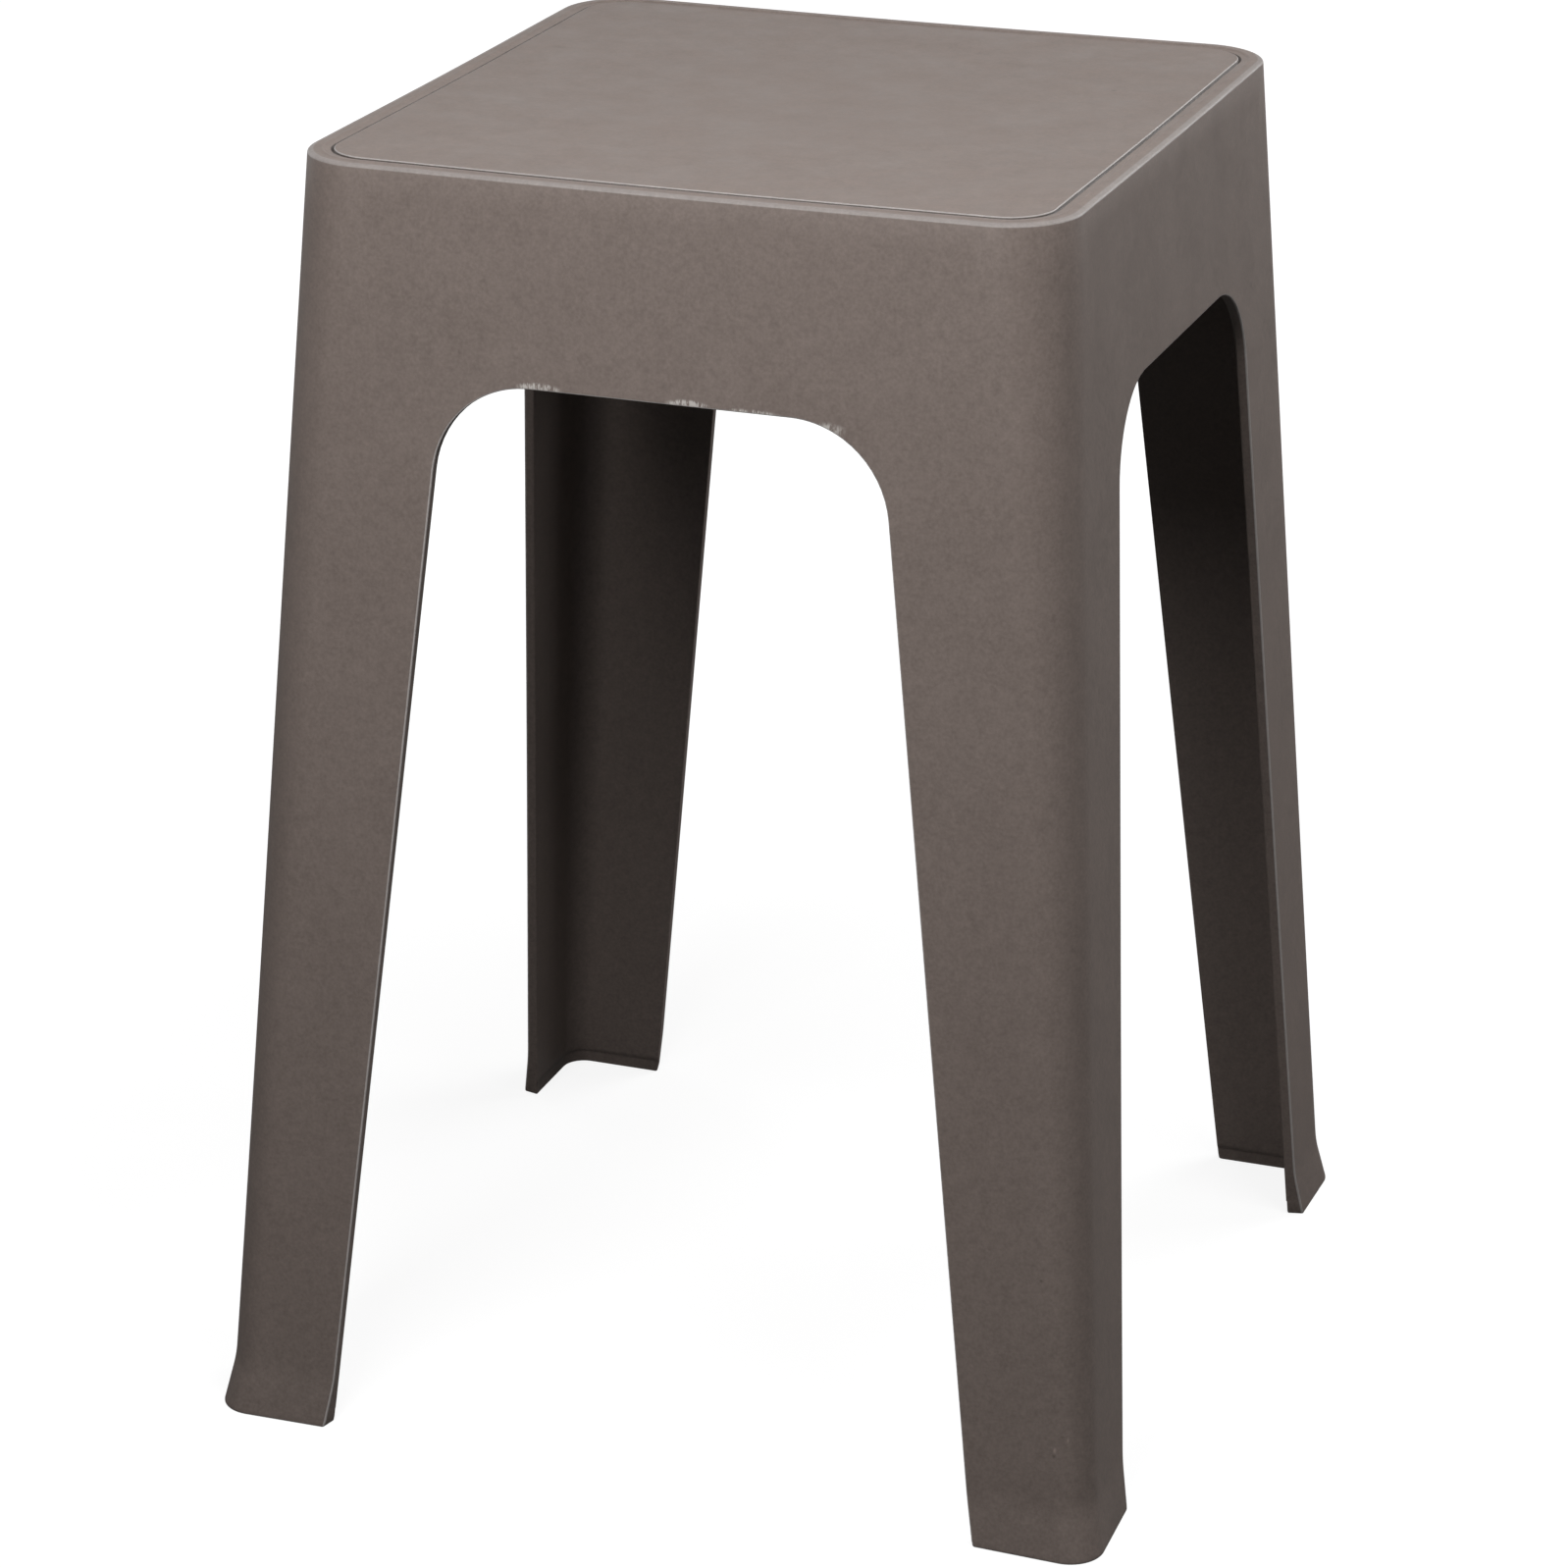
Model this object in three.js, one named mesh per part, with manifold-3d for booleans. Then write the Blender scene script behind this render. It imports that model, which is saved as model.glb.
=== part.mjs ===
// Stacking stool: one plastic moulding with a flat square seat, four arched aprons and four open,
// splayed legs, so that stools nest. It is divided here into its named sections, which meet face
// to face. Millimetres, +Z up, +X to the sitter's right, -Y to the front, origin on the floor
// under the middle of the seat.
import * as THREE from 'three';
import { mergeVertices } from 'three/addons/utils/BufferGeometryUtils.js';
import Module from 'manifold-3d';

const wasm = await Module();
wasm.setup();

// Whole stool
const seatHeight = 460;
const seatWidth = 270;
const stanceWidth = 327;
const seatCornerRadius = 25;
const footCornerRadius = 12.5;
const wallThickness = 4;

// Seat
const seatThickness = 4;
const rimRounding = 2.5;
const grooveInset = 8.3;
const grooveWidth = 2.6;
const grooveDepth = 0.5;

// Aprons and arches
const apronDepth = 70;
const archRadius = 31;
const legWidthAtArch = 62.2;
const legWidthAtFloor = 42.3;

// Feet
const footHeight = 27;
const footFlare = 3;
const soleHeight = 5.5;
const soleRelief = 0.8;

// Stiffening under the seat
const ribDepth = 18;
const ribRootThickness = 2.6;
const ribTipThickness = 1.8;
const ringRadius = 20;
const ringWall = 2.6;

// Working allowances
const sectionGap = 0.3;
const overrun = 20;

// Facets
const cornerFacets = 9;
const archFacets = 10;
const roundingFacets = 3;
const flareFacets = 6;
const ringFacets = 16;

// Derived places
const seatHalf = seatWidth / 2;
const slope = (stanceWidth / 2 - seatHalf) / seatHeight;
const underSeat = seatHeight - seatThickness;
const archTop = seatHeight - apronDepth;
const reach = stanceWidth / 2 + footFlare + overrun;
const outerHalf = (height) => seatHalf + slope * (seatHeight - height);
const radiusAt = (height) => THREE.MathUtils.lerp(footCornerRadius, seatCornerRadius, height / seatHeight);

const plastic = new THREE.MeshStandardMaterial({ color: 0x776c65, roughness: 0.52, metalness: 0 });

// A closed geometry as a solid that can be joined and cut
function solid(geometry) {
  const bare = geometry.clone();
  bare.deleteAttribute('normal');
  bare.deleteAttribute('uv');
  const merged = mergeVertices(bare);
  return new wasm.Manifold(new wasm.Mesh({
    numProp: 3,
    vertProperties: new Float32Array(merged.attributes.position.array),
    triVerts: new Uint32Array(merged.index.array),
  }));
}

// A named mesh from a solid
function section(name, body) {
  const { vertProperties, triVerts } = body.getMesh();
  const geometry = new THREE.BufferGeometry();
  geometry.setAttribute('position', new THREE.BufferAttribute(new Float32Array(vertProperties), 3));
  geometry.setIndex(new THREE.BufferAttribute(new Uint32Array(triVerts), 1));
  geometry.computeVertexNormals();
  const mesh = new THREE.Mesh(geometry, plastic.clone());
  mesh.name = name;
  return mesh;
}

// A square outline with round corners
function roundedSquare(half, radius) {
  const middle = half - radius;
  const shape = new THREE.Shape();
  shape.absarc(middle, middle, radius, 0, Math.PI / 2);
  shape.absarc(-middle, middle, radius, Math.PI / 2, Math.PI);
  shape.absarc(-middle, -middle, radius, Math.PI, Math.PI * 1.5);
  shape.absarc(middle, -middle, radius, Math.PI * 1.5, Math.PI * 2);
  shape.closePath();
  return shape;
}

// An upright block of that outline between two heights
function squareBlock(half, radius, bottom, top) {
  const settings = { depth: top - bottom, bevelEnabled: false, curveSegments: cornerFacets };
  const block = new THREE.ExtrudeGeometry(roundedSquare(half, radius), settings);
  return solid(block.translate(0, 0, bottom));
}

// A block whose outline has its own half width and corner radius at each level
function taperedBlock(levels) {
  const settings = {
    depth: levels.length - 1,
    steps: levels.length - 1,
    bevelEnabled: false,
    curveSegments: cornerFacets,
  };
  const block = new THREE.ExtrudeGeometry(roundedSquare(seatHalf, seatCornerRadius), settings);
  const flatHalf = seatHalf - seatCornerRadius;
  const place = block.attributes.position;
  for (let index = 0; index < place.count; index += 1) {
    const { height, half, radius } = levels[Math.round(place.getZ(index))];
    const [x, y] = [place.getX(index), place.getY(index)].map((value) => {
      const roundShare = (Math.abs(value) - flatHalf) / seatCornerRadius;
      return Math.sign(value) * (half - radius + radius * roundShare);
    });
    place.setXYZ(index, x, y, height);
  }
  return solid(block);
}

// The feet flare outwards in a smooth double curve down to the sole
function flareAt(height) {
  const rise = THREE.MathUtils.clamp((footHeight - height) / (footHeight - soleHeight / 2), 0, 1);
  return footFlare * THREE.MathUtils.smoothstep(rise, 0, 1);
}

// Outside of the whole moulding, with its flared feet and the rounded edge of the seat
function outsideBlock() {
  const levels = [{ height: 0, half: outerHalf(0) + footFlare, radius: radiusAt(0) }];
  for (let step = 0; step <= flareFacets; step += 1) {
    const height = THREE.MathUtils.lerp(soleHeight / 2, footHeight, step / flareFacets);
    levels.push({ height, half: outerHalf(height) + flareAt(height), radius: radiusAt(height) });
  }
  for (let step = 0; step <= roundingFacets; step += 1) {
    const turn = (Math.PI / 2) * (step / roundingFacets);
    const height = seatHeight - rimRounding * (1 - Math.sin(turn));
    const pullIn = rimRounding * (1 - Math.cos(turn));
    levels.push({ height, half: outerHalf(height) - pullIn, radius: radiusAt(height) - pullIn });
  }
  return taperedBlock(levels);
}

// Space inside the walls, open below, shrunk by a clearance
function insideBlock(clearance) {
  const inset = wallThickness + clearance;
  const heights = [-overrun, seatHeight + overrun];
  return taperedBlock(heights.map((height) => ({
    height,
    half: outerHalf(height) - inset,
    radius: radiusAt(height) - inset,
  })));
}

// The free edges of the legs lean outwards to the floor, and a large fillet joins them to the apron
const edgeAtFloor = stanceWidth / 2 - legWidthAtFloor;
const edgeAtArch = outerHalf(archTop) - legWidthAtArch;
const edgeLean = (edgeAtFloor - edgeAtArch) / archTop;
const edgeAngle = Math.atan(edgeLean);
const edgeAt = (height) => edgeAtFloor - edgeLean * height;
const filletMiddle = archTop - archRadius;
const filletOffset = edgeAt(filletMiddle) - archRadius / Math.cos(edgeAngle);
const apronHalf = Math.fround(filletOffset);

// One arch cut through both opposite aprons, running along Y
function archCutter() {
  const soleEdge = edgeAtFloor + soleRelief;
  const shape = new THREE.Shape();
  shape.moveTo(-soleEdge, -overrun);
  shape.lineTo(soleEdge, -overrun);
  shape.lineTo(soleEdge, 0);
  shape.lineTo(edgeAt(soleHeight), soleHeight);
  shape.absarc(filletOffset, filletMiddle, archRadius, edgeAngle, Math.PI / 2);
  shape.absarc(-filletOffset, filletMiddle, archRadius, Math.PI / 2, Math.PI - edgeAngle);
  shape.lineTo(-edgeAt(soleHeight), soleHeight);
  shape.lineTo(-soleEdge, 0);
  shape.closePath();
  const settings = { depth: 2 * reach, bevelEnabled: false, curveSegments: archFacets };
  const block = new THREE.ExtrudeGeometry(shape, settings);
  return block.rotateX(Math.PI / 2).translate(0, reach, 0);
}

// A box between two corners
function boxBetween(low, high) {
  const size = high.map((value, axis) => value - low[axis]);
  const box = new THREE.BoxGeometry(...size);
  return solid(box.translate(...low.map((value, axis) => value + size[axis] / 2)));
}

const outside = outsideBlock();
const walls = outside
  .subtract(insideBlock(0))
  .subtract(solid(archCutter()))
  .subtract(solid(archCutter().rotateZ(Math.PI / 2)));

// Part of the walls between two heights: an apron's flat length where a sign is 0, or a corner
function sideSection(signX, signY, bottom, top) {
  const spans = [signX, signY].map((sign) => {
    const span = sign === 0 ? [-apronHalf, apronHalf] : [sign * apronHalf, sign * reach];
    return span.sort((first, second) => first - second);
  });
  const low = [spans[0][0], spans[1][0], bottom];
  const high = [spans[0][1], spans[1][1], top];
  return walls.intersect(boxBetween(low, high));
}

const sides = [
  { name: 'front', x: 0, y: -1 },
  { name: 'right', x: 1, y: 0 },
  { name: 'back', x: 0, y: 1 },
  { name: 'left', x: -1, y: 0 },
];
const corners = [
  { name: 'front_left', face: 'front', x: -1, y: -1 },
  { name: 'front_right', face: 'front', x: 1, y: -1 },
  { name: 'back_right', face: 'back', x: 1, y: 1 },
  { name: 'back_left', face: 'back', x: -1, y: 1 },
];

// An L-section leg as its two webs, parted along the middle of its round corner
function legWebs(corner) {
  const leg = sideSection(corner.x, corner.y, footHeight, filletMiddle);
  const faceSide = new THREE.Shape([
    new THREE.Vector2(0, 0),
    new THREE.Vector2(corner.x * reach, corner.y * reach),
    new THREE.Vector2(0, corner.y * reach),
  ]);
  const wedge = solid(new THREE.ExtrudeGeometry(faceSide, { depth: seatHeight, bevelEnabled: false }));
  return [
    section(`leg_${corner.name}_${corner.face}_web`, leg.intersect(wedge)),
    section(`leg_${corner.name}_side_web`, leg.subtract(wedge)),
  ];
}

// Seat: a flat panel inside the groove, and the rim that carries it and rounds over to the aprons
function seatSections() {
  const panelHalf = seatHalf - grooveInset;
  const panelRadius = seatCornerRadius - grooveInset;
  const panel = squareBlock(panelHalf, panelRadius, underSeat, seatHeight);
  const hole = squareBlock(panelHalf, panelRadius, underSeat - overrun, seatHeight + overrun);
  const groove = squareBlock(
    panelHalf + grooveWidth,
    panelRadius + grooveWidth,
    seatHeight - grooveDepth,
    seatHeight + overrun,
  );
  const slabBox = boxBetween([-reach, -reach, underSeat], [reach, reach, seatHeight + overrun]);
  const rim = outside.intersect(slabBox).subtract(hole).subtract(groove);
  return [section('seat_panel', panel), section('seat_rim', rim)];
}

// Ring under the middle of the seat, where the ribs meet
function centreRing() {
  const shape = new THREE.Shape();
  shape.absarc(0, 0, ringRadius, 0, Math.PI * 2);
  const bore = new THREE.Path();
  bore.absarc(0, 0, ringRadius - ringWall, 0, Math.PI * 2, true);
  shape.holes.push(bore);
  const settings = { depth: ribDepth, bevelEnabled: false, curveSegments: ringFacets };
  const ring = new THREE.ExtrudeGeometry(shape, settings);
  return section('centre_ring', solid(ring.translate(0, 0, underSeat - ribDepth)));
}

// One tapered rib, from the ring to the inside of the walls, turned about the middle of the seat
const cavity = insideBlock(sectionGap);
function rib(name, turn) {
  const profile = new THREE.Shape([
    new THREE.Vector2(-ribTipThickness / 2, -ribDepth),
    new THREE.Vector2(ribTipThickness / 2, -ribDepth),
    new THREE.Vector2(ribRootThickness / 2, 0),
    new THREE.Vector2(-ribRootThickness / 2, 0),
  ]);
  const bar = new THREE.ExtrudeGeometry(profile, { depth: reach * Math.SQRT2, bevelEnabled: false });
  bar.rotateX(Math.PI / 2).translate(0, -ringRadius - sectionGap, underSeat).rotateZ(turn);
  return section(name, solid(bar).intersect(cavity));
}

const stool = new THREE.Group();
stool.add(...seatSections());
sides.forEach((side, index) => {
  stool.add(section(`apron_${side.name}`, sideSection(side.x, side.y, 0, underSeat)));
  stool.add(rib(`rib_${side.name}`, (index * Math.PI) / 2));
});
corners.forEach((corner, index) => {
  stool.add(section(`shoulder_${corner.name}`, sideSection(corner.x, corner.y, filletMiddle, underSeat)));
  stool.add(...legWebs(corner));
  stool.add(section(`foot_${corner.name}`, sideSection(corner.x, corner.y, -overrun, footHeight)));
  stool.add(rib(`rib_${corner.name}`, (index * Math.PI) / 2 - Math.PI / 4));
});
stool.add(centreRing());

export default stool;
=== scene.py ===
import math
import bmesh
import bpy
from mathutils import Matrix, Vector


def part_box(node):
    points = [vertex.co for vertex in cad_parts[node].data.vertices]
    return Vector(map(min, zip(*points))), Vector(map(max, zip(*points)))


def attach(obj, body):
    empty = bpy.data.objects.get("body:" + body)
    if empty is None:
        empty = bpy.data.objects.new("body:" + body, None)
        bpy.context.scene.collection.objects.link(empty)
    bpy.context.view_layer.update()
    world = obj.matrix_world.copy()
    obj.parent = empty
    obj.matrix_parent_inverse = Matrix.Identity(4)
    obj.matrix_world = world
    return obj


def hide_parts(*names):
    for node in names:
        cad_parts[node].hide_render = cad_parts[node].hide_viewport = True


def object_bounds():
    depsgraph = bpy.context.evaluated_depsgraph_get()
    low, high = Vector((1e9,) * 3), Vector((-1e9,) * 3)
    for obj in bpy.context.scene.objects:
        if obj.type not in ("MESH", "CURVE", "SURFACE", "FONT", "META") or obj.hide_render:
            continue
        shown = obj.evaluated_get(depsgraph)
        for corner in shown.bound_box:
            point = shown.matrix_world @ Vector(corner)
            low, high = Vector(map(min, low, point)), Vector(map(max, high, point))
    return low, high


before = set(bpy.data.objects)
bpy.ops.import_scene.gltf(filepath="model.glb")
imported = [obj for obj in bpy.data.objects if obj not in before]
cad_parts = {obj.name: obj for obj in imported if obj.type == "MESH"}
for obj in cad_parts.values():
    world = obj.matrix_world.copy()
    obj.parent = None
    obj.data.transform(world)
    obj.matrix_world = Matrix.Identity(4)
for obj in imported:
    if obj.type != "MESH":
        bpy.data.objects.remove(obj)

# Stacking stool, one plastic moulding: a continuous shell with rounded free edges, a grooved seat
# and flared feet, and the stiffening ribs under its seat. Metres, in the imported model's frame.

MM = 0.001
cad_low, cad_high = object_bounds()

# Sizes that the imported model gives
seat_height = cad_high.z
foot_half = cad_high.x
foot_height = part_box("foot_front_right")[1].z
foot_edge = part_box("foot_front_right")[0].x
leg_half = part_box("leg_front_right_side_web")[1].x
leg_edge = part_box("leg_front_right_front_web")[0].x
shoulder_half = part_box("shoulder_front_right")[1].x
shoulder_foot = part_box("shoulder_front_right")[0].z
arch_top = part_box("apron_front")[0].z
panel_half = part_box("seat_panel")[1].x
under_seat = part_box("seat_panel")[0].z
ring_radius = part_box("centre_ring")[1].x
rib_depth = under_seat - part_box("centre_ring")[0].z

# Walls
wall = 4 * MM
arch_radius = 35 * MM
seat_corner_radius = 25 * MM
foot_corner_radius = 12.5 * MM
outer_edge_radius = 0.55 * MM
inner_edge_radius = 0.5 * MM
sole_corner_radius = 1 * MM
under_seat_fillet = 2.2 * MM

# Feet
flare_start = 22 * MM
flare_end = 1 * MM
flare_ease = 0.4
foot_sweep = 0.6 * MM
sweep_height = 230 * MM
sole_line = 5.5 * MM
sole_line_width = 0.3 * MM
sole_line_step = 0.25 * MM

# Shares of the flare at a leg's free edge, outwards and along the wall
edge_flare = 0.75
edge_sway = 0.5

# Seat
rim_rounding = 1.3 * MM
rim_rounding_width = 2.2 * MM
lip_place = 4.3 * MM
lip_width = 0.9 * MM
lip_height = 0.12 * MM
gutter_depth = 0.45 * MM
groove_place = 7.9 * MM
groove_width = 1 * MM
groove_depth = 1.4 * MM
panel_edge_radius = 0.45 * MM
seat_dish = 2.2 * MM
# Painted highlights: how strongly the rim's rounding and the panel's edge are lightened
rim_painted_highlight = 0.25
panel_edge_painted_highlight = 0.6

# Ribs under the seat
rib_count = 8
rib_root = 2.6 * MM
rib_tip = 1.8 * MM
rib_tip_rounding = 0.45 * MM
rib_fillet = 1.2 * MM
ring_wall = 2.6 * MM
embed = 1 * MM

# Mesh steps
corner_steps = 8
flat_steps = 8
fillet_steps = 18
apron_steps = 7
leg_steps = 18
flare_steps = 12
sole_steps = 4
edge_steps = 4
rounding_steps = 7
panel_steps = 3
rib_steps = 24
ring_steps = 64

# Points of a free edge's profile before its rounding
edge_lead = 2

# Share of the panel that is laid as a square
square_share = 0.8

# Angle past which an edge of the ribs stays sharp
sharp_angle = math.radians(40)


# Shape of the walls

slope = (leg_half - shoulder_half) / (shoulder_foot - foot_height)
edge_lean = (foot_edge - leg_edge) / (shoulder_foot - foot_height)
edge_angle = math.atan(edge_lean)
arch_middle_height = arch_top - arch_radius
arch_middle = foot_edge + edge_lean * (foot_height - arch_middle_height)
arch_middle -= arch_radius / math.cos(edge_angle)
tangent_height = arch_middle_height + arch_radius * math.sin(edge_angle)
rim_foot = seat_height - rim_rounding
foot_flare = foot_half - (leg_half + slope * foot_height)

# Points nearer than this count as one
close = MM / 100


def wall_half(height):
    """Half the width across the outside of the walls, without the feet's flare."""
    return leg_half + slope * (foot_height - height)


def corner_radius(height):
    """The walls' round corners are narrower at the feet than at the seat."""
    share = height / seat_height
    return foot_corner_radius + (seat_corner_radius - foot_corner_radius) * share


def flat_end(height):
    """Where a wall's flat part ends and its round corner starts, from the side's middle."""
    return wall_half(height) - corner_radius(height)


def smooth(share):
    """A share from 0 to 1 that starts and ends gently."""
    share = min(max(share, 0), 1)
    return share * share * (3 - 2 * share)


def flare(height):
    """How far the outside leaves its straight line: in a long gentle sweep, then the foot's flare."""
    sweep = max(0, 1 - height / sweep_height) ** 2
    share = min(max((flare_start - height) / (flare_start - flare_end), 0), 1)
    eased = share ** 2 / (2 * flare_ease) if share < flare_ease else share - flare_ease / 2
    return foot_sweep * sweep + (foot_flare - foot_sweep) * eased / (1 - flare_ease / 2)


def wall_at(height):
    """The wall's thickness, a little less below the line round the inside of the foot."""
    return wall - sole_line_step * smooth((sole_line - height) / sole_line_width + 1 / 2)


def leg_edge_at(height):
    """How far a leg's free edge stands from the side's middle."""
    return foot_edge + edge_lean * (foot_height - height)


def dish(point):
    """How far the seat and the tops of the walls sink between the corners."""
    share = max(0, 1 - (point.x ** 2 + point.y ** 2) / (2 * panel_half ** 2))
    return seat_dish * share ** 2 * smooth((point.z - arch_top) / (seat_height - arch_top))


def sunk(point):
    return Vector((point.x, point.y, point.z - dish(point)))


def shares(steps):
    return [step / steps for step in range(steps + 1)]


def blend(first, second, share):
    return first + (second - first) * share


class Spot:
    """A place on the front wall's right half: across the flat, then turned round the corner.

    Its sway grows from 0 at the free edge to 1 at the corner, and its normal leads in from that edge.
    """

    def __init__(self, across, height, turn=0, sway=0, normal=(0, 0)):
        self.across = across
        self.height = height
        self.turn = turn
        self.sway = sway
        self.normal = normal

    def inwards(self, offset):
        """The same spot moved in from the wall's free edge."""
        across = self.across + self.normal[0] * offset
        return Spot(across, self.height + self.normal[1] * offset, self.turn, self.sway)

    def swell(self):
        """How far the outer skin is pushed out here."""
        return flare(self.height) * blend(edge_flare, 1, self.sway)

    def skin(self, depth):
        """The point at a depth between 0, the outer skin, and 1, the inner skin."""
        along = flare(self.height) * blend(edge_sway, 1, self.sway)
        outer_radius = corner_radius(self.height)
        inner_radius = outer_radius - wall_at(self.height)
        middle = outer_radius - wall_half(self.height)
        outer = Vector((
            self.across + along + outer_radius * math.sin(self.turn),
            middle - self.swell() - outer_radius * math.cos(self.turn),
            self.height,
        ))
        inner = Vector((
            self.across + inner_radius * math.sin(self.turn),
            middle - inner_radius * math.cos(self.turn),
            self.height,
        ))
        return outer.lerp(inner, depth)


class Sheet:
    """Collects the faces of one eighth of the stool, sharing the points that coincide."""

    def __init__(self, marks):
        self.mesh = bmesh.new()
        self.known = {}
        for name in marks:
            self.mesh.verts.layers.float.new(name)

    def vertex(self, point):
        """The mesh's own point at a place, made when it is first asked for."""
        place = sunk(point)
        key = tuple(round(value / close) for value in place)
        if key not in self.known:
            self.known[key] = self.mesh.verts.new(place)
        return self.known[key]

    def face(self, points):
        corners = []
        for point in points:
            corner = self.vertex(point)
            if corner not in corners:
                corners.append(corner)
        if len(corners) > 2:
            self.mesh.faces.new(corners)

    def strip(self, rows):
        """Fills the bands between rows that have as many points as each other."""
        for low, high in zip(rows, rows[1:]):
            for index in range(len(low) - 1):
                self.face([low[index], low[index + 1], high[index + 1], high[index]])

    def mark(self, name, points, amount=1):
        """Marks points for the material to find."""
        layer = self.mesh.verts.layers.float[name]
        for point in points:
            self.vertex(point)[layer] = amount


# Free edge of the wall, from the corner's middle along the sole, up the leg and round the arch

def sole_spots():
    """The sole, from the corner's middle to where it turns up the leg."""
    drift = flat_end(1) - flat_end(0)
    start = leg_edge_at(0) + sole_corner_radius
    spots = []
    for share in reversed(shares(corner_steps)[1:]):
        turn = math.pi / 4 * share
        spots.append(Spot(flat_end(0), 0, turn=turn, sway=1, normal=(drift, 1)))
    for share in reversed(shares(flat_steps)):
        across = blend(start, flat_end(0), share)
        spots.append(Spot(across, 0, sway=share, normal=(drift * share, 1)))
    return spots


def sole_corner_spots():
    """The small round corner between the sole and the leg's free edge."""
    middle = leg_edge_at(0) + sole_corner_radius
    spots = []
    for share in shares(edge_steps)[1:-1]:
        angle = math.pi / 2 * share
        spots.append(Spot(
            middle - sole_corner_radius * math.sin(angle),
            sole_corner_radius * (1 - math.cos(angle)),
            normal=(math.sin(angle), math.cos(angle)),
        ))
    return spots


def leg_heights():
    """Heights up a leg's free edge, with a close pair at the line round the foot."""
    line_foot = sole_line - sole_line_width / 2
    line_top = sole_line + sole_line_width / 2
    heights = [blend(sole_corner_radius, line_foot, share) for share in shares(sole_steps)]
    heights += [sole_line, line_top]
    heights += [blend(line_top, foot_height, share) for share in shares(flare_steps)[1:]]
    heights += [blend(foot_height, tangent_height, share) for share in shares(leg_steps)[1:-1]]
    return heights


def leg_spots():
    """The leg's free edge, whose direction turns slowly into the arch's."""
    spots = []
    for height in leg_heights():
        rise = (height - sole_corner_radius) / (tangent_height - sole_corner_radius)
        angle = edge_angle * rise
        across = leg_edge_at(height) if rise > 0 else leg_edge_at(0)
        spots.append(Spot(across, height, normal=(math.cos(angle), math.sin(angle))))
    return spots


def arch_spots():
    """The arch's round corner, with a step aimed at the shoulder's top, and the apron's edge."""
    corner_angle = math.atan2(rim_foot - arch_middle_height, flat_end(rim_foot) - arch_middle)
    half_steps = fillet_steps // 2
    angles = [blend(edge_angle, corner_angle, share) for share in shares(half_steps)]
    angles += [blend(corner_angle, math.pi / 2, share) for share in shares(half_steps)[1:]]
    spots = []
    for angle in angles:
        outward = (math.cos(angle), math.sin(angle))
        across = arch_middle + arch_radius * outward[0]
        height = arch_middle_height + arch_radius * outward[1]
        spots.append(Spot(across, height, normal=outward))
    for share in shares(apron_steps)[1:]:
        spots.append(Spot(arch_middle * (1 - share), arch_top, normal=(0, 1)))
    return spots


def far_spot(spot):
    """Where the line from a spot of the free edge, along its normal, leaves the flat wall."""
    run, rise = spot.normal
    drift = flat_end(1) - flat_end(0)
    to_corner = (flat_end(spot.height) - spot.across) / max(run - drift * rise, close)
    to_top = (rim_foot - spot.height) / max(rise, close)
    return spot.inwards(min(to_corner, to_top))


def wall_rows(top):
    """Rows of spots over the flat wall and round the corner, squeezed to end at the given height."""
    squeeze = (top - shoulder_foot) / (rim_foot - shoulder_foot)
    rows = []
    for spot in leg_spots() + arch_spots():
        near = spot.inwards(sole_corner_radius)
        far = far_spot(spot)
        on_top = far.height > rim_foot - close and far.across < flat_end(rim_foot) - close
        if far.height > shoulder_foot:
            far.height = blend(shoulder_foot, far.height, squeeze)
        if not on_top:
            far.across = flat_end(far.height)
        flat = []
        for share in shares(flat_steps):
            across = blend(near.across, far.across, share)
            height = blend(near.height, far.height, share)
            flat.append(Spot(across, height, sway=share))
        corner = []
        for share in shares(corner_steps)[1:]:
            turn = math.pi / 4 * share
            corner.append(Spot(flat_end(far.height), far.height, turn=turn, sway=1))
        rows.append((flat, [] if on_top else corner))
    return rows


def add_skin(sheet, top, depth):
    """Lays one skin of the wall and returns the spots along its top, from the side's middle."""
    rows = wall_rows(top)
    sheet.strip([[spot.skin(depth) for spot in flat] for flat, corner in rows])
    round_rows = [[flat[-1]] + corner for flat, corner in rows if corner]
    sheet.strip([[spot.skin(depth) for spot in row] for row in round_rows])
    flats = [flat[-1] for flat, corner in rows if not corner]
    flats.reverse()
    return flats + round_rows[-1]


def edge_profile(thickness):
    """Places in from the free edge and shares of the depth, over the wall's rounded edge."""
    hold = outer_edge_radius / 2
    start = [(sole_corner_radius, 0), (outer_edge_radius + hold, 0)]
    outer_round = []
    inner_round = []
    for share in shares(edge_steps):
        angle = math.pi / 2 * share
        offset = outer_edge_radius * (1 - math.sin(angle))
        outer_round.append((offset, outer_edge_radius * (1 - math.cos(angle)) / thickness))
        offset = inner_edge_radius * (1 - math.cos(angle))
        inner_round.append((offset, 1 - inner_edge_radius * (1 - math.sin(angle)) / thickness))
    flat = [
        (0, (outer_edge_radius + hold) / thickness),
        (0, 1 - (inner_edge_radius + hold) / thickness),
    ]
    return start + outer_round + flat + inner_round + [(sole_corner_radius, 1)]


def add_free_edge(sheet):
    """Joins the two skins by the wall's rounded edge, with a painted highlight on its outer rounding.
    """
    rows = []
    for spot in sole_spots() + sole_corner_spots() + leg_spots() + arch_spots():
        profile = edge_profile(wall_at(spot.height) + spot.swell())
        rows.append([spot.inwards(offset).skin(depth) for offset, depth in profile])
    sheet.strip(rows)
    for row in rows:
        # The outer rounding carries a painted highlight
        sheet.mark("edge_painted_highlight", row[edge_lead + 1:edge_lead + 1 + edge_steps])


# Seat, from the walls' rounded top edge in to the middle

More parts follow.
